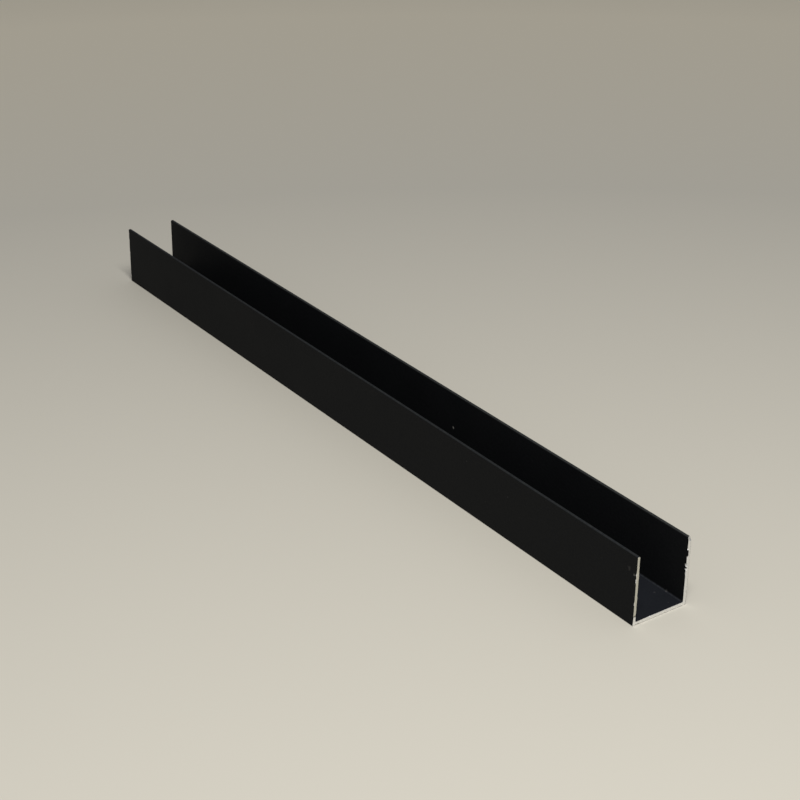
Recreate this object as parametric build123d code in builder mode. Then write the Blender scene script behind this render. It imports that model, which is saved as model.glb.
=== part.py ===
"""Aluminium U-channel: one length of extruded stock, coated black and then sawn square at both ends.

Lengths are in millimetres. X runs along the channel, Y across it and Z up from the underside of the web.
The origin is the middle of that underside. The channel stands on its web with its open side up.
"""

import os

from build123d import *

# Driving dimensions, taken over the coating
LENGTH = 300.0  # from sawn end to sawn end
WIDTH = 20.0  # over the outer faces of the two flanges
HEIGHT = 22.0  # from the underside of the web to the flange tips
FLANGE_WALL = 1.1
WEB_WALL = 1.1
ROOT_RADIUS = 0.3  # inner corners, where the flanges rise from the web
HEEL_RADIUS = 0.3  # outer corners, along the underside
TIP_RADIUS = 0.25  # both edges of each flange tip

# The slot between the flanges
SLOT_WIDTH = WIDTH - 2 * FLANGE_WALL
SLOT_DEPTH = HEIGHT - WEB_WALL

os.makedirs("parts", exist_ok=True)

with BuildPart() as u_channel:
    # The section is drawn on the plane of the rear sawn end, with its base line along the underside
    with BuildSketch(Plane.YZ.offset(-LENGTH / 2)) as section:
        Rectangle(WIDTH, HEIGHT, align=(Align.CENTER, Align.MIN))
        with Locations((0, WEB_WALL)):
            Rectangle(SLOT_WIDTH, SLOT_DEPTH, align=(Align.CENTER, Align.MIN), mode=Mode.SUBTRACT)
        # The corners lie at three heights: the heels lowest, then the roots, then the tips
        fillet(section.vertices().group_by(Axis.Y)[1], ROOT_RADIUS)
        fillet(section.vertices().group_by(Axis.Y)[0], HEEL_RADIUS)
        fillet(section.vertices().group_by(Axis.Y)[-1], TIP_RADIUS)
    # The die pushes the section out along the length
    extrude(amount=LENGTH)

u_channel.part.label = "u_channel"
export_step(u_channel.part, "parts/u_channel.step")
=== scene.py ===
"""Looks of a matt black aluminium U-channel: its coat, its bare sawn ends, and a plain floor and light.

Lengths are in metres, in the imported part's frame: X along the channel, Y across it, Z up.
"""

import math

import bpy
import numpy as np
from mathutils import Matrix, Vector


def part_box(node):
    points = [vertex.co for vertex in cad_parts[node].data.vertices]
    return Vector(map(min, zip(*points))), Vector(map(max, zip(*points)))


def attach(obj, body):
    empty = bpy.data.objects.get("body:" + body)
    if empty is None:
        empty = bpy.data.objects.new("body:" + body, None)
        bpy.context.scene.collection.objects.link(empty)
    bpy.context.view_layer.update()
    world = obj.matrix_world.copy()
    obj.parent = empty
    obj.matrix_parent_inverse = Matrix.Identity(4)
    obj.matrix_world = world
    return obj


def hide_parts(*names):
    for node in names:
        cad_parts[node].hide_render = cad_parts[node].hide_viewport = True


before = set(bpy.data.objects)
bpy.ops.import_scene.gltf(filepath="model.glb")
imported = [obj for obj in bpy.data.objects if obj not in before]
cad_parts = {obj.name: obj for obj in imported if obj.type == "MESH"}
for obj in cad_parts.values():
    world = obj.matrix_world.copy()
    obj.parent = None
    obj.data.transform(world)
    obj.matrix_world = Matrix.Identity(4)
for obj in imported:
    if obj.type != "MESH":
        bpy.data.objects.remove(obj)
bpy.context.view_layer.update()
low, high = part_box("u_channel")
MM = 0.001

# The channel: its outside comes from the frame, its wall and radii are those of the solid
LENGTH = high.x - low.x
WIDTH = high.y - low.y
HEIGHT = high.z - low.z
WALL = 1.1 * MM
ROOT_RADIUS = 0.3 * MM
HEEL_RADIUS = 0.3 * MM
TIP_RADIUS = 0.25 * MM
COAT = 0.05 * MM
INNER_FACE = WIDTH / 2 - WALL

# Divisions of the skin: steps round the section, and how far from each end the finer rings start
TIP_STEPS = 6
CORNER_STEPS = 8
FLANGE_STEPS = 200
WEB_STEPS = 90
WALL_STEPS = 10
SUPPORT_STEPS = 2
FLANGE_STRIDE = 40
WEB_STRIDE = 30
BODY_SPANS = 30
FAN_ZONE = 5.0 * MM
FINE_ZONE = 3.0 * MM
EDGE_ZONE = 1.6 * MM
SHARP_ANGLE = math.radians(38)

# The saw cut: how far each end lies inside the full length, at the underside and at the tips
NEAR_SETBACK = (0.01 * MM, 0.22 * MM)
FAR_SETBACK = (0.02 * MM, 0.18 * MM)

# The blade's ridges on both cuts, and its centre across and up
RIDGE_DEPTH = 0.008 * MM
RIDGE_PITCH = 0.45 * MM
RIDGE_SHIFT = 2.0
RIDGES_PER_SHIFT = 7
BLADE_CENTRE = (-62.0 * MM, 118.0 * MM)

# Knocks on the near end: a nick across the left flange, and a blunted outer tip on the right one
NICK_HEIGHT = 2.95 * MM
NICK_HALF_WIDTH = 0.28 * MM
NICK_DEPTH = 0.12 * MM
BLUNT_REACH = 1.3 * MM
BLUNT_DEPTH = 0.8 * MM

# The coat's ragged edge along the cut: a fine tear all round, flakes gone here and there, and thin burrs
NEAR_SEED = 53
FAR_SEED = 41
TEAR_START = 0.02 * MM
TEAR_DEPTH = 0.06 * MM
TEAR_SPACING = 0.22 * MM
FLAKE_DEPTH = 0.34 * MM
FLAKE_SPACING = 0.9 * MM
FLAKE_LEVEL = 0.68
BARED_DEPTH = 0.17 * MM
BEVEL_SHARE = 0.9
BURR_FORWARD_SHARE = 0.2
BURR_LEAN_SHARE = 0.9
LIP = 0.05 * MM

# Burrs and chips on the near end: place across and up, half length along the edge, and reach past the cut.
# A reach below zero is a chip. Each fades out over the last share of its half length.
MARK_FADE_SHARE = 0.25
MARK_WANDER_SHARE = 0.3
NEAR_EDGE_MARKS = (
    (INNER_FACE, 17.00 * MM, 1.20 * MM, 0.42 * MM),
    (INNER_FACE, 13.10 * MM, 0.55 * MM, -0.46 * MM),
    (INNER_FACE, 12.35 * MM, 0.25 * MM, 0.32 * MM),
    (INNER_FACE, 11.90 * MM, 0.40 * MM, -0.32 * MM),
    (-WIDTH / 2, 16.40 * MM, 0.30 * MM, -0.08 * MM),
    (-WIDTH / 2, 8.00 * MM, 8.50 * MM, 0.12 * MM),
    (-INNER_FACE, 19.50 * MM, 3.00 * MM, 0.16 * MM),
)

# The texture sheet that the finishes are drawn on: the long skin in two halves, with upright strips beside
# it. A strip has its first pixel and its width.
SHEET_PIXELS = 1024
LONG_SHARE = 0.91
HALF_SHARE = 0.495
STRIPS_START_SHARE = 0.92
STRIP_BORDER_SHARE = 0.01
END_PIXELS = 40
CUT_STRIP = (0, 16)
BARE_EDGE_STRIP = (20, 8)
COAT_EDGE_STRIP = (32, 4)

# Noise for all finishes: the middle ranges that are spread out, and its detail
NOISE_RANGE = (0.3, 0.7)
LUMP_RANGE = (0.35, 0.65)
LUMP_SHARE = 0.7
GRAIN_FINENESS = 4.0
CLOUD_DETAIL = 3
GRAIN_DETAIL = 1
STREAK_DETAIL = 2

# The black coat: its colours, where they lie, and its surface. A scale counts noise cells in a metre.
COAT_DARK = (0.0080, 0.0085, 0.0093, 1)
COAT_LIGHT = (0.0106, 0.0112, 0.0120, 1)
# The tips' colour is partly wear and partly a painted highlight on their top faces
COAT_RUBBED_AND_HIGHLIGHT = (0.033, 0.034, 0.030, 1)
# A painted highlight along the roots, paler and bluish
COAT_ROOT_HIGHLIGHT = (0.0245, 0.0265, 0.0305, 1)
DUST_COLOUR = (0.34, 0.33, 0.31, 1)
# A painted bluish sheen on faces that look up, in place of cool light from above
PAINTED_SHEEN_COLOUR = (0.19, 0.24, 0.40, 1)
PAINTED_SHEEN_SHARES = (0.010, 0.016)
PAINTED_SHEEN_FACING = (0.8, 1.0)
TIP_REACH = 0.3 * MM
TIP_FULL_SHARE = 0.25
TIP_FACING = (0.65, 0.9)
LEFT_TO_RIGHT_SHARES = (0.5, 1.0)
PATCH_SHARES = (0.35, 1.0)
ROOT_HIGHLIGHT_REACH = 0.45 * MM
PEEL_SCALE = 1100
PEEL_STRENGTH = 0.6
PEEL_DEPTH = 0.1 * MM
COAT_CLOUDS = 60
COAT_ROUGHNESS = (0.46, 0.56)
COAT_GLOSS = 0.030
SPECK_ROUGHNESS = 0.4

# Dust: how much of a grain shows in full, and the spacing, size and strength of the coat's two kinds
DUST_CORE_SHARE = 0.4
COAT_DUSTS = (
    (5.0 * MM, 0.16 * MM, 0.30),
    (1.6 * MM, 0.07 * MM, 0.15),
)

# Single specks on the coat: how full and how ragged they are, and the place, radius and strength of each
SPECK_CORE_SHARE = 0.5
RAGGED_SHARES = (0.5, 1.6)
SPECKS = (
    ((41.5 * MM, 8.9 * MM, 9.9 * MM), 0.42 * MM, 1.00),
    ((149.1 * MM, -10.0 * MM, 16.1 * MM), 0.40 * MM, 0.30),
    ((147.0 * MM, -10.0 * MM, 17.3 * MM), 0.60 * MM, 0.06),
    ((143.3 * MM, 8.7 * MM, 1.4 * MM), 0.45 * MM, 0.10),
    ((141.7 * MM, 5.6 * MM, 1.1 * MM), 0.40 * MM, 0.06),
)

# The bare sawn metal: its colours and its surface. Crumbs have a spacing, a size and a strength.
METAL_DARK = (0.88, 0.88, 0.885, 1)
METAL_LIGHT = (0.965, 0.965, 0.97, 1)
METAL_DULL = (0.67, 0.66, 0.595, 1)
# Dark grey for crumbs of dirt, also laid in the nick as painted shade
METAL_GRIME_AND_SHADE = (0.20, 0.20, 0.17, 1)
METAL_TORN = (0.64, 0.63, 0.61, 1)
NICK_SHADE_SHARE = 0.95
CRUMBS = (1.2 * MM, 0.10 * MM, 0.5)
STREAK_SCALE = 5200
TOOTH_SCALE = 2600
TOOTH_STRENGTH = 0.2
TOOTH_DEPTH = 0.02 * MM
METAL_ROUGHNESS = (0.42, 0.28)
DULL_ROUGHNESS = 0.1
METAL_GLOSS = 0.1

# The light: a soft lamp over the near end and an even surround
LAMP_PLACE = (0.45, -0.20, 0.80)
LAMP_SIZE = 0.3
LAMP_ENERGY = 7.6
LAMP_COLOUR = (1.0, 0.99, 0.97)
SURROUND_COLOUR = (0.82, 0.83, 0.855, 1)
SURROUND_STRENGTH = 0.307

# The floor: painted paler past a distance from the point below the lamp, painted light that makes up for
# the lamp's fall-off
FLOOR_RADIUS = 6.0
FLOOR_SIDES = 96
FLOOR_GAP = 0.02 * MM
FLOOR_COLOUR = (0.58, 0.552, 0.478, 1)
FLOOR_FAR_PAINTED_LIGHT = (0.88, 0.81, 0.65, 1)
FLOOR_PAINTED_LIGHT_RANGE = (0.72, 1.05)
FLOOR_ROUGHNESS = 0.7

# The camera: its place, its angles in degrees, and its focal length in pixels of the picture
CAMERA_PLACE = (0.4361, -0.2931, 0.2650)
CAMERA_AZIMUTH = 54.584
CAMERA_PITCH = 26.298
CAMERA_ROLL = 0.775
FOCAL_PIXELS = 1717.0
PICTURE_PIXELS = 800
SENSOR_WIDTH = 36.0
CLIP_START = 0.01


def arc(centre, radius, start, end, steps):
    """Points on a circle: the centre plus the radius times the cosine and sine of evenly spaced angles."""
    angle = np.radians(np.linspace(start, end, steps + 1))
    return np.column_stack((centre[0] + radius * np.cos(angle), centre[1] + radius * np.sin(angle)))


def between(start, end, steps):
    """Evenly spaced points strictly between two points."""
    return np.linspace(start, end, steps + 1)[1:-1]


def outline(tip_centre, tip_radius, tip_end, corner_centre, corner_radius):
    """One side of the section from the left tip to the right one, as points across and up.

    The left half is an arc at the tip, a straight flange face, an arc at the corner and half of the web's
    face. The right half is its mirror image.
    """
    tip = arc(tip_centre, tip_radius, 90, tip_end, TIP_STEPS)
    corner = arc(corner_centre, corner_radius, 180, 270, CORNER_STEPS)
    middle = np.array((0, corner[-1, 1]))
    flange = between(tip[-1], corner[0], FLANGE_STEPS)
    web = between(corner[-1], middle, WEB_STEPS)
    left = np.vstack((tip, flange, corner, web))
    return np.vstack((left, middle, left[::-1] * (-1, 1)))


def across_wall(outer, inner):
    """A grid of straight rows across the wall, each from an outer point to its match on the inner side."""
    share = np.linspace(0, 1, WALL_STEPS + 1)[None, :, None]
    return outer[:, None] * (1 - share) + inner[:, None] * share


def wall_grid(inset):
    """The section as a grid of points: rows run along the U from tip to tip, columns across the wall.

    The inset moves every outline that far into the metal.
    """
    outer_tip = (-WIDTH / 2 + TIP_RADIUS, HEIGHT - TIP_RADIUS)
    inner_tip = (-INNER_FACE - TIP_RADIUS, HEIGHT - TIP_RADIUS)
    heel = (-WIDTH / 2 + HEEL_RADIUS, HEEL_RADIUS)
    root = (-INNER_FACE + ROOT_RADIUS, WALL + ROOT_RADIUS)
    outer = outline(outer_tip, TIP_RADIUS - inset, 180, heel, HEEL_RADIUS - inset)
    inner = outline(inner_tip, TIP_RADIUS - inset, 0, root, ROOT_RADIUS + inset)
    return across_wall(outer, inner)


def ring_of(grid):
    """The border of a grid, once round: down its first column, along its last row and back again."""
    return np.concatenate((grid[:, 0], grid[-1, 1:-1], grid[::-1, -1], grid[0, -2:0:-1]))


def closed(ring):
    """The same ring with its first point again at its end."""
    return np.concatenate((ring, ring[:1]))


def coarse_rows():
    """Which rows of the section the long body keeps: each arc with its neighbours, and few on the flats."""
    flange = np.zeros(FLANGE_STEPS - 1, bool)
    web = np.zeros(WEB_STEPS - 1, bool)
    for flat, stride in ((flange, FLANGE_STRIDE), (web, WEB_STRIDE)):
        flat[stride - 1::stride] = True
        flat[:SUPPORT_STEPS] = True
    flange[-SUPPORT_STEPS:] = True
    left = np.concatenate((np.ones(TIP_STEPS + 1, bool), flange, np.ones(CORNER_STEPS + 1, bool), web))
    return np.concatenate((left, [True], left[::-1]))


def lengths_along(points):
    """How far each point lies along a line of points: the running sum of the steps between neighbours."""
    sides = np.linalg.norm(np.diff(points, axis=0), axis=1)
    return np.concatenate(([0], np.cumsum(sides)))


def root_highlight_share(section):
    """Share of the painted highlight along the roots: one on the root arcs, falling in a straight line to
    zero at the reach from the inner corner.
    """
    distance = np.hypot(np.abs(section[:, 0]) - INNER_FACE, section[:, 1] - WALL)
    return np.clip((ROOT_HIGHLIGHT_REACH - distance) / (ROOT_HIGHLIGHT_REACH - ROOT_RADIUS), 0, 1)


# The section's grids and rings, and the coat's marks: how far each point faces up, and where the roots
# carry a painted highlight
COATED = wall_grid(0)
METAL = wall_grid(COAT)
COATED_RING = ring_of(COATED)
METAL_RING = ring_of(METAL)
INWARD = (METAL_RING - COATED_RING) / COAT
RING_MARKS = {"upward": np.clip(-INWARD[:, 1], 0, 1), "root": root_highlight_share(COATED_RING)}
ROWS = len(COATED)
GRID_INDEX = np.arange(ROWS * (WALL_STEPS + 1)).reshape(ROWS, WALL_STEPS + 1)
RIM = ring_of(GRID_INDEX)

# The points of the ring that the long body keeps
KEPT_GRID = np.zeros(GRID_INDEX.shape, bool)
KEPT_GRID[:, 0] = coarse_rows()
KEPT_GRID[:, -1] = coarse_rows()
KEPT = np.flatnonzero(ring_of(KEPT_GRID))
KEPT_RING = COATED_RING[KEPT]
KEPT_MARKS = {mark: values[KEPT] for mark, values in RING_MARKS.items()}

# Places round the ring and along the rows, as lengths and as shares of the whole
RING_PLACE = lengths_along(closed(COATED_RING))
RING_SHARE = RING_PLACE / RING_PLACE[-1]
ROW_PLACE = lengths_along(COATED[:, WALL_STEPS // 2])
ROW_SHARE = ROW_PLACE / ROW_PLACE[-1]


def torn_noise(spacing, seed):
    """Noise of a torn edge round the ring: random heights from 0 to 1 at even steps, in straight lines."""
    knots = np.arange(0, RING_PLACE[-1] + 2 * spacing, spacing)
    return np.interp(RING_PLACE[:-1], knots, np.random.default_rng(seed).random(len(knots)))


def edge_reach(seed, edge_marks):
    """How far the coat reaches past the cut at each point of the ring; below zero it is chipped back.

    A fine torn noise runs all along the edge. Where a coarser one rises over a level, a flake is gone too.
    Each mark adds its reach. The fine noise makes flakes and marks uneven.
    """
    fine = torn_noise(TEAR_SPACING, seed)
    flakes = np.clip(torn_noise(FLAKE_SPACING, seed + 1) - FLAKE_LEVEL, 0, None) / (1 - FLAKE_LEVEL)
    reach = -TEAR_START - TEAR_DEPTH * fine - FLAKE_DEPTH * flakes * (1 + fine) / 2
    wander = 1 + MARK_WANDER_SHARE * (2 * fine - 1)
    for across, up, half, extra in edge_marks:
        distance = np.hypot(COATED_RING[:, 0] - across, COATED_RING[:, 1] - up)
        reach = reach + extra * wander * np.clip((1 - distance / half) / MARK_FADE_SHARE, 0, 1)
    return reach


def cut_depth(across, up, setback, blunt):
    """How far the cut lies inside the full length: it slants with height, and one outer tip may be blunt.

    The blunting falls in a straight line from its depth at the right flange's tip to zero at a reach.
    """
    distance = np.hypot(across - WIDTH / 2, up - HEIGHT)
    return np.interp(up, (0, HEIGHT), setback) + blunt * np.clip(1 - distance / BLUNT_REACH, 0, 1)


def nick_bell(across, up):
    """One across the left flange at the nick's height, falling off up and down as a bell curve."""
    return np.exp(-((up - NICK_HEIGHT) / NICK_HALF_WIDTH) ** 2) * (across < 0)


def saw_ridges(across, up):
    """Depth of the saw's ridges, in circles round the blade's centre.

    They are a sine of the distance from that centre, slowly shifted by a second sine.
    """
    distance = np.hypot(across - BLADE_CENTRE[0], up - BLADE_CENTRE[1])
    phase = 2 * np.pi * distance / RIDGE_PITCH
    return RIDGE_DEPTH * (1 + np.sin(phase + RIDGE_SHIFT * np.sin(phase / RIDGES_PER_SHIFT)))


def long_map(along, near):
    """Places of a closed ring of the long skin on the texture sheet.

    Half of the channel's length runs across the sheet and the ring up it, the near half above the far one.
    """
    start = 0 if near else -LENGTH / 2
    across = (np.broadcast_to(along, len(RING_SHARE)) - start) / (LENGTH / 2) * LONG_SHARE
    return np.column_stack((across, near * (1 - HALF_SHARE) + HALF_SHARE * RING_SHARE))


def strip_map(strip, near, across, up):
    """Places in one of an end's upright strips, from shares across the strip and up it."""
    first, width = strip
    pixels = near * END_PIXELS + first + width * across
    up = STRIP_BORDER_SHARE + (1 - 2 * STRIP_BORDER_SHARE) * up
    return np.stack(np.broadcast_arrays(STRIPS_START_SHARE + pixels / SHEET_PIXELS, up), -1)


MARKS = ("upward", "root", "dull", "grime", "torn")
COAT_SLOT, BARE_SLOT = 0, 1


class Skin:
    """Gathers points with their marks, and faces with their material and places on the texture sheet."""

    def __init__(self):
        self.points = []
        self.marks = {mark: [] for mark in MARKS}
        self.count = 0
        self.faces = []
        self.slots = []
        self.sheet = []

    def add(self, along, section, **marks):
        """Adds points at these places along the channel and on its section, and returns their numbers."""
        size = len(section)
        self.points.append(np.column_stack((np.broadcast_to(along, size), section)))
        for mark in MARKS:
            self.marks[mark].append(np.broadcast_to(marks.get(mark, 0), size))
        self.count += size
        return np.arange(self.count - size, self.count)

    def cover(self, faces, places, slot, side=1):
        """Adds faces, turned round for the far end so that they point outwards there too."""
        self.faces.extend(faces[:, ::side].tolist())
        self.sheet.append(places[:, ::side].reshape(-1, 2))
        self.slots.append(np.full(len(faces), slot))

    def band(self, rear, front, rear_places, front_places, slot, side=1):
        """Four-sided faces between two rings of as many points."""
        rear = closed(rear)
        front = closed(front)
        faces = np.stack((rear[:-1], rear[1:], front[1:], front[:-1]), 1)
        places = np.stack((rear_places[:-1], rear_places[1:], front_places[1:], front_places[:-1]), 1)
        self.cover(faces, places, slot, side)

    def fan(self, coarse, fine, coarse_places, fine_places, slot, side):
        """Three-sided faces between a ring of few points and a ring of many.

        Each side of the fine ring goes to the nearer end of the coarse side that it lies along.
        """
        coarse = closed(coarse)
        fine = closed(fine)
        ends = np.append(KEPT, len(fine) - 1)
        number = np.arange(len(fine) - 1)
        owner = np.searchsorted(KEPT, number, "right") - 1
        middle = (ends[:-1] + ends[1:]) // 2
        nearer = np.where(number < middle[owner], owner, owner + 1)
        places = coarse_places[ends]
        self.cover(
            np.stack((coarse[nearer], fine[1:], fine[:-1]), 1),
            np.stack((places[nearer], fine_places[1:], fine_places[:-1]), 1), slot, side,
        )
        self.cover(
            np.stack((coarse[:-1], coarse[1:], fine[middle]), 1),
            np.stack((places[:-1], places[1:], fine_places[middle]), 1), slot, side,
        )

    def sheet_of_cells(self, grid, places, slot, side):
        """Four-sided faces over a grid of points, one in each cell."""
        inner, outer = slice(None, -1), slice(1, None)
        corners = ((inner, inner), (outer, inner), (outer, outer), (inner, outer))
        faces = np.stack([grid[corner] for corner in corners], -1).reshape(-1, 4)
        face_places = np.stack([places[corner] for corner in corners], -2).reshape(-1, 4, 2)
        self.cover(faces, face_places, slot, side)

    def mesh(self, name):
        """The gathered points and faces as a mesh, with its map of the texture sheet and its marks."""
        made = bpy.data.meshes.new(name)
        made.from_pydata(np.concatenate(self.points).tolist(), [], self.faces)
        made.polygons.foreach_set("material_index", np.concatenate(self.slots).astype(np.int32))
        made.polygons.foreach_set("use_smooth", np.ones(len(self.faces), bool))
        made.uv_layers.new(name="OFBake").data.foreach_set("uv", np.concatenate(self.sheet).ravel())
        for mark, values in self.marks.items():
            attribute = made.attributes.new(mark, "FLOAT", "POINT")
            attribute.data.foreach_set("value", np.concatenate(values).astype(np.float32))
        made.set_sharp_from_angle(angle=SHARP_ANGLE)
        made.validate()
        return made


def sawn_end(skin, near, seed, setback, edge_marks=(), nick=0, blunt=0):
    """The last few millimetres at one end, from a coarse ring to the cut face. Returns the coarse ring.

    Fine rings carry the coat up to a lip and on to its ragged edge. There the skin steps in by the coat's
    thickness to the metal, runs on to the plane of the cut and closes with a grid across the wall. Where
    the coat is chipped, the metal's edge is bevelled. Where it reaches past the cut, it leans over as a
    burr.
    """
    side = 1 if near else -1
    end = side * LENGTH / 2
    reach = edge_reach(seed, edge_marks)
    burr = np.clip(reach, 0, None)
    chip = np.clip(-reach, 0, None)

    # The coat, from the coarse ring to its ragged edge
    plane = cut_depth(*COATED_RING.T, setback, blunt)
    edge = end - side * (plane + chip - BURR_FORWARD_SHARE * burr)
    lean = INWARD * (BURR_LEAN_SHARE * burr)[:, None]
    coarse = skin.add(end - side * FAN_ZONE, KEPT_RING, **KEPT_MARKS)
    first = skin.add(end - side * FINE_ZONE, COATED_RING, **RING_MARKS)
    second = skin.add(end - side * EDGE_ZONE, COATED_RING, **RING_MARKS)
    lip = skin.add(edge - side * LIP, COATED_RING, **RING_MARKS)
    coat_edge = skin.add(edge, COATED_RING + lean, **RING_MARKS)
    first_places = long_map(end - side * FINE_ZONE, near)
    second_places = long_map(end - side * EDGE_ZONE, near)
    lip_places = long_map(closed(edge - side * LIP), near)
    skin.fan(coarse, first, long_map(end - side * FAN_ZONE, near), first_places, COAT_SLOT, side)
    skin.band(first, second, first_places, second_places, COAT_SLOT, side)
    skin.band(second, lip, second_places, lip_places, COAT_SLOT, side)
    skin.band(lip, coat_edge, lip_places, long_map(closed(edge), near), COAT_SLOT, side)

    # The bare metal, from under the coat's edge to the cut face
    rim = METAL_RING + INWARD * (BEVEL_SHARE * chip)[:, None]
    face = across_wall(rim[:ROWS], rim[ROWS + WALL_STEPS - 1:][:ROWS][::-1]).reshape(-1, 2)
    across, up = face.T
    bell = nick_bell(across, up)
    depth = cut_depth(across, up, setback, blunt) + saw_ridges(across, up) + nick * bell
    dull = np.clip((up - NICK_HEIGHT) / NICK_HALF_WIDTH, 0, 1) * (across < 0) * near
    bared = np.clip(chip / BARED_DEPTH, 0, 1)
    torn = np.zeros(len(face))
    torn[RIM] = bared
    metal_edge = skin.add(edge, METAL_RING + lean, torn=bared, **RING_MARKS)
    # The nick's bell also marks where painted shade darkens the metal
    cut = skin.add(end - side * depth, face, dull=dull, grime=near * bell, torn=torn)
    for rear, front, strip, slot in (
        (coat_edge, metal_edge, COAT_EDGE_STRIP, COAT_SLOT),
        (metal_edge, cut[RIM], BARE_EDGE_STRIP, BARE_SLOT),
    ):
        strip_sides = [strip_map(strip, near, share, RING_SHARE) for share in (0, 1)]
        skin.band(rear, front, *strip_sides, slot, side)
    wall_share = np.linspace(0, 1, WALL_STEPS + 1)
    cut_places = strip_map(CUT_STRIP, near, wall_share[None, :], ROW_SHARE[:, None])
    skin.sheet_of_cells(cut[GRID_INDEX], cut_places, BARE_SLOT, side)
    return coarse


def channel_mesh():
    """The whole channel: its section carried along the length in coarse rings, and the two sawn ends."""
    skin = Skin()
    rear = sawn_end(skin, False, FAR_SEED, FAR_SETBACK)
    front = sawn_end(skin, True, NEAR_SEED, NEAR_SETBACK, NEAR_EDGE_MARKS, NICK_DEPTH, BLUNT_DEPTH)
    stations = np.linspace(-LENGTH / 2 + FAN_ZONE, LENGTH / 2 - FAN_ZONE, BODY_SPANS + 1)
    rings = [rear] + [skin.add(station, KEPT_RING, **KEPT_MARKS) for station in stations[1:-1]] + [front]
    kept = np.append(KEPT, len(COATED_RING))
    for span in range(BODY_SPANS):
        near = 2 * span >= BODY_SPANS
        sides = [long_map(stations[span + step], near)[kept] for step in (0, 1)]
        skin.band(rings[span], rings[span + 1], *sides, COAT_SLOT)
    return skin.mesh("channel")


def put(tree, value, socket):
    """Links a socket to another one, or sets it to a constant."""
    if isinstance(value, bpy.types.NodeSocket):
        tree.links.new(value, socket)
    else:
        socket.default_value = value


def add_node(tree, kind, inputs=None, **settings):
    """Adds a shader node, sets its options, and sets or links its inputs by name or number."""
    made = tree.nodes.new("ShaderNode" + kind)
    for name, value in settings.items():
        setattr(made, name, value)
    for name, value in (inputs or {}).items():
        put(tree, value, made.inputs[name])
    return made


def joined(tree, operation, first, *others):
    """Values joined from left to right by one operation, such as MULTIPLY or MAXIMUM."""
    for other in others:
        first = add_node(tree, "Math", {0: first, 1: other}, operation=operation).outputs[0]
    return first


def ramp(tree, value, start, end, low_value=0.0, high_value=1.0):
    """A value brought from start and end to two others along a straight line, and held there outside."""
    return add_node(
        tree, "MapRange",
        {"Value": value, "From Min": start, "From Max": end, "To Min": low_value, "To Max": high_value},
    ).outputs["Result"]


def layered(tree, colour, *layers):
    """A colour with others laid over it one after another, each by its own share."""
    for share, layer in layers:
        colour = add_node(tree, "Mix", {0: share, 6: colour, 7: layer}, data_type="RGBA").outputs[2]
    return colour


def noise(tree, place, scale, detail):
    """Smooth noise at a place."""
    return add_node(tree, "TexNoise", {"Vector": place, "Scale": scale, "Detail": detail}).outputs["Fac"]


def distance_from(tree, place, centre):
    """How far a place lies from a fixed point."""
    return add_node(tree, "VectorMath", {0: place, 1: centre}, operation="DISTANCE").outputs["Value"]


def point_mark(tree, mark):
    """One of the marks on the channel's points."""
    return add_node(tree, "Attribute", attribute_name=mark).outputs["Fac"]


def bumped(tree, height, strength, depth):
    """A normal tilted by a relief."""
    bump = add_node(tree, "Bump", {"Height": height, "Strength": strength, "Distance": depth})
    return bump.outputs["Normal"]


def new_material(name):
    """A material with a Principled shader. Returns it with its node tree and its Object coordinates."""
    material = bpy.data.materials.new(name)
    material.use_nodes = True
    tree = material.node_tree
    return material, tree, add_node(tree, "TexCoord").outputs["Object"]


def set_shader(tree, inputs):
    """Sets or links the inputs of a material's Principled shader by name."""
    for name, value in inputs.items():
        put(tree, value, tree.nodes["Principled BSDF"].inputs[name])


def new_group(name, inputs, outputs):
    """A node group that takes a place and these inputs. Returns it with its inner sockets."""
    tree = bpy.data.node_groups.new(name, "ShaderNodeTree")
    tree.interface.new_socket(name="Place", in_out="INPUT", socket_type="NodeSocketVector")
    for direction, labels in (("INPUT", inputs), ("OUTPUT", outputs)):
        for label in labels:
            tree.interface.new_socket(name=label, in_out=direction, socket_type="NodeSocketFloat")
    return tree, tree.nodes.new("NodeGroupInput").outputs, tree.nodes.new("NodeGroupOutput").inputs


def grain_group():
    """Uneven tone and fine relief: slow clouds, and lumps of a given size with a finer grain on them."""
    tree, inside, out = new_group("grain", ("Lumps", "Clouds"), ("Cloud", "Height"))
    clouds = noise(tree, inside["Place"], inside["Clouds"], CLOUD_DETAIL)
    lumps = noise(tree, inside["Place"], inside["Lumps"], GRAIN_DETAIL)
    finer = joined(tree, "MULTIPLY", inside["Lumps"], GRAIN_FINENESS)
    grain = noise(tree, inside["Place"], finer, GRAIN_DETAIL)
    lump_height = joined(tree, "MULTIPLY", lumps, LUMP_SHARE)
    grain_height = joined(tree, "MULTIPLY", grain, 1 - LUMP_SHARE)
    put(tree, ramp(tree, clouds, *NOISE_RANGE), out["Cloud"])
    put(tree, joined(tree, "ADD", lump_height, grain_height), out["Height"])
    return tree


def dust_group():
    """Loose specks: balls round scattered points where the surface cuts them, each of a random strength."""
    tree, inside, out = new_group("dust", ("Spacing", "Size", "Strength"), ("Mask",))
    density = joined(tree, "DIVIDE", 1.0, inside["Spacing"])
    cells = add_node(tree, "TexVoronoi", {"Vector": inside["Place"], "Scale": density}).outputs
    reach = joined(tree, "MULTIPLY", inside["Size"], density)
    ball = ramp(tree, cells["Distance"], reach, joined(tree, "MULTIPLY", reach, DUST_CORE_SHARE))
    chance = add_node(tree, "SeparateColor", {"Color": cells["Color"]}).outputs["Red"]
    put(tree, joined(tree, "MULTIPLY", ball, chance, inside["Strength"]), out["Mask"])
    return tree


def dusting(tree, dust, place, spacing, size, strength):
    """The dust group's mask with a spacing, size and strength of its own."""
    values = {"Place": place, "Spacing": spacing, "Size": size, "Strength": strength}
    return add_node(tree, "Group", values, node_tree=dust).outputs["Mask"]


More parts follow.
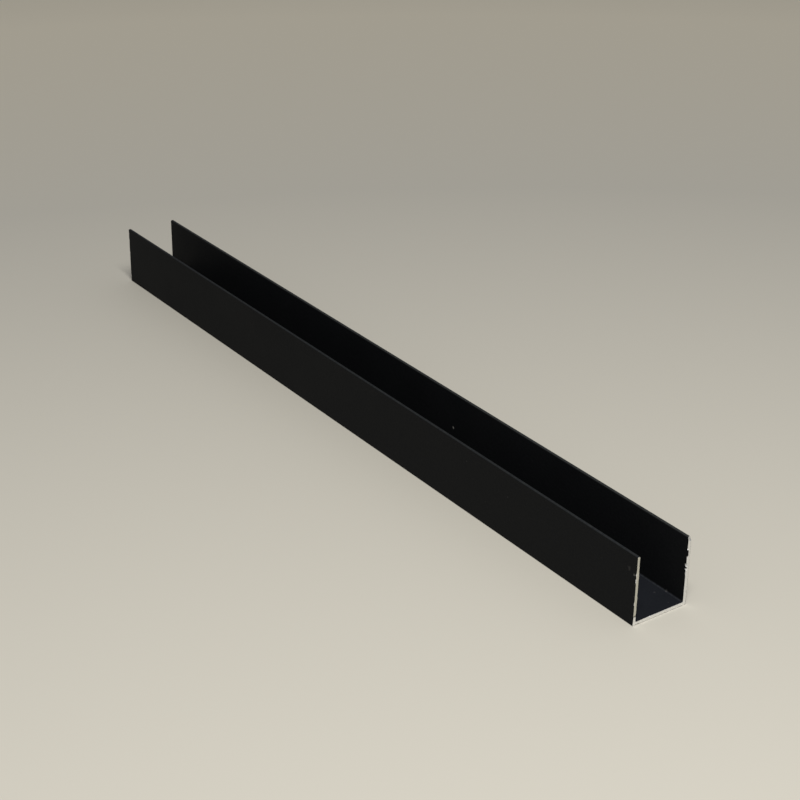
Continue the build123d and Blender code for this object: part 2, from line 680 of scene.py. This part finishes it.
def black_coat(grain, dust):
    """Matt black powder coat: orange peel, tips rubbed paler with a painted highlight on their top faces, a
    painted highlight along the roots, a painted bluish sheen on top faces, dust, specks.
    """
    material, tree, place = new_material("black_coat")
    values = {"Place": place, "Lumps": PEEL_SCALE, "Clouds": COAT_CLOUDS}
    peel = add_node(tree, "Group", values, node_tree=grain).outputs
    lumps = ramp(tree, peel["Height"], *LUMP_RANGE)
    patchy = ramp(tree, lumps, 0, 1, *PATCH_SHARES)
    upward = point_mark(tree, "upward")
    sides = add_node(tree, "SeparateXYZ", {"Vector": place}).outputs

    # Where the coat is paler: worn tips with a painted highlight on their top faces, paler on the right, a
    # painted highlight along the roots, and a painted bluish sheen on faces that look up
    top = ramp(tree, sides["Z"], HEIGHT - TIP_REACH, HEIGHT - TIP_REACH * TIP_FULL_SHARE)
    tip_side_share = ramp(tree, sides["Y"], -INNER_FACE, INNER_FACE, *LEFT_TO_RIGHT_SHARES)
    rubbed_and_highlight = joined(tree, "MULTIPLY", top, ramp(tree, upward, *TIP_FACING), tip_side_share, patchy)
    # The root mark places a painted highlight along the roots
    root = joined(tree, "MULTIPLY", point_mark(tree, "root"), patchy)
    # A painted bluish sheen on the faces that look up
    sheen_share = ramp(tree, peel["Cloud"], 0, 1, *PAINTED_SHEEN_SHARES)
    painted_sheen = joined(tree, "MULTIPLY", ramp(tree, upward, *PAINTED_SHEEN_FACING), sheen_share)

    # Dust, and single specks with ragged outlines
    masks = [dusting(tree, dust, place, *kind) for kind in COAT_DUSTS]
    ragged = ramp(tree, lumps, 0, 1, *RAGGED_SHARES)
    for centre, radius, strength in SPECKS:
        distance = joined(tree, "MULTIPLY", distance_from(tree, place, centre), ragged)
        masks.append(ramp(tree, distance, radius, radius * SPECK_CORE_SHARE, 0, strength))
    specks = joined(tree, "MAXIMUM", *masks)

    # The tone is the mean of the clouds and the lumps, which both run from 0 to 1
    tone = ramp(tree, joined(tree, "ADD", peel["Cloud"], lumps), 0, 2)
    rough = ramp(tree, peel["Cloud"], 0, 1, *COAT_ROUGHNESS)
    set_shader(tree, {
        "Base Color": layered(
            tree, COAT_DARK, (tone, COAT_LIGHT), (rubbed_and_highlight, COAT_RUBBED_AND_HIGHLIGHT), (root, COAT_ROOT_HIGHLIGHT),
            (painted_sheen, PAINTED_SHEEN_COLOUR), (specks, DUST_COLOUR),
        ),
        "Roughness": joined(tree, "ADD", rough, joined(tree, "MULTIPLY", specks, SPECK_ROUGHNESS)),
        "Normal": bumped(tree, peel["Height"], PEEL_STRENGTH, PEEL_DEPTH),
        "Specular IOR Level": COAT_GLOSS,
    })
    return material


def sawn_aluminium(grain, dust):
    """Bare sawn aluminium: streaks round the blade's centre, a dull flange, painted shade in the nick, torn
    edges and a few crumbs.
    """
    material, tree, place = new_material("sawn_aluminium")
    section = add_node(tree, "VectorMath", {0: place, 1: (0, 1, 1)}, operation="MULTIPLY").outputs[0]
    distance = distance_from(tree, section, (0, *BLADE_CENTRE))
    values = {"W": distance, "Scale": STREAK_SCALE, "Detail": STREAK_DETAIL}
    streaks = add_node(tree, "TexNoise", values, noise_dimensions="1D").outputs["Fac"]
    bright = ramp(tree, streaks, *NOISE_RANGE)
    values = {"Place": place, "Lumps": TOOTH_SCALE}
    tooth = add_node(tree, "Group", values, node_tree=grain).outputs["Height"]
    dull = point_mark(tree, "dull")
    torn = point_mark(tree, "torn")
    # Painted shade: the metal darkens across the nick
    grime = joined(tree, "MULTIPLY", point_mark(tree, "grime"), NICK_SHADE_SHARE)
    crumbs = dusting(tree, dust, place, *CRUMBS)
    rough = ramp(tree, bright, 0, 1, *METAL_ROUGHNESS)
    set_shader(tree, {
        "Base Color": layered(
            tree, METAL_DARK, (bright, METAL_LIGHT), (dull, METAL_DULL), (grime, METAL_GRIME_AND_SHADE),
            (crumbs, METAL_GRIME_AND_SHADE), (torn, METAL_TORN),
        ),
        "Roughness": joined(tree, "ADD", rough, joined(tree, "MULTIPLY", dull, DULL_ROUGHNESS)),
        "Metallic": ramp(tree, torn, 0, 1, 1, 0),
        "Normal": bumped(tree, joined(tree, "ADD", streaks, tooth), TOOTH_STRENGTH, TOOTH_DEPTH),
        "Specular IOR Level": METAL_GLOSS,
    })
    return material


def make_channel(grain, dust):
    """The channel as one piece, in place of its solid."""
    mesh = channel_mesh()
    mesh.materials.append(black_coat(grain, dust))
    mesh.materials.append(sawn_aluminium(grain, dust))
    channel = bpy.data.objects.new("channel", mesh)
    bpy.context.scene.collection.objects.link(channel)
    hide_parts("u_channel")
    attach(channel, "root")


def make_floor():
    """A round floor just under the channel: points on a circle at even angles, as one face, painted paler
    away from the lamp as painted light.
    """
    angle = np.linspace(0, 2 * np.pi, FLOOR_SIDES, endpoint=False)
    height = np.full(FLOOR_SIDES, low.z - FLOOR_GAP)
    points = np.column_stack((FLOOR_RADIUS * np.cos(angle), FLOOR_RADIUS * np.sin(angle), height))
    mesh = bpy.data.meshes.new("floor")
    mesh.from_pydata(points.tolist(), [], [list(range(FLOOR_SIDES))])
    material, tree, place = new_material("floor")
    # Painted light: the floor grows paler away from the point below the lamp
    far_painted_light = ramp(tree, distance_from(tree, place, (*LAMP_PLACE[:2], 0)), *FLOOR_PAINTED_LIGHT_RANGE)
    set_shader(tree, {
        "Base Color": layered(tree, FLOOR_COLOUR, (far_painted_light, FLOOR_FAR_PAINTED_LIGHT)),
        "Roughness": FLOOR_ROUGHNESS,
    })
    mesh.materials.append(material)
    floor = bpy.data.objects.new("floor", mesh)
    bpy.context.scene.collection.objects.link(floor)


def make_light():
    """A soft lamp over the near end, on the viewer's side, and an even pale surround."""
    lamp = bpy.data.lights.new("soft_lamp", "AREA")
    lamp.shape = "SQUARE"
    lamp.size = LAMP_SIZE
    lamp.energy = LAMP_ENERGY
    lamp.color = LAMP_COLOUR
    holder = bpy.data.objects.new("soft_lamp", lamp)
    holder.location = LAMP_PLACE
    bpy.context.scene.collection.objects.link(holder)
    world = bpy.data.worlds.new("surround")
    world.use_nodes = True
    background = world.node_tree.nodes["Background"]
    background.inputs["Color"].default_value = SURROUND_COLOUR
    background.inputs["Strength"].default_value = SURROUND_STRENGTH
    bpy.context.scene.world = world


def make_camera():
    """The camera at the photograph's viewing angle."""
    camera = bpy.data.cameras.new("camera")
    camera.sensor_width = SENSOR_WIDTH
    camera.lens = SENSOR_WIDTH * FOCAL_PIXELS / PICTURE_PIXELS
    camera.clip_start = CLIP_START
    holder = bpy.data.objects.new("camera", camera)
    turn = Matrix.Rotation(math.radians(CAMERA_AZIMUTH), 4, "Z")
    tilt = Matrix.Rotation(math.radians(90 - CAMERA_PITCH), 4, "X")
    roll = Matrix.Rotation(math.radians(CAMERA_ROLL), 4, "Z")
    holder.matrix_world = Matrix.Translation(CAMERA_PLACE) @ turn @ tilt @ roll
    bpy.context.scene.collection.objects.link(holder)
    bpy.context.scene.camera = holder


make_channel(grain_group(), dust_group())
make_floor()
make_light()
make_camera()
bpy.context.scene.view_settings.view_transform = "Standard"
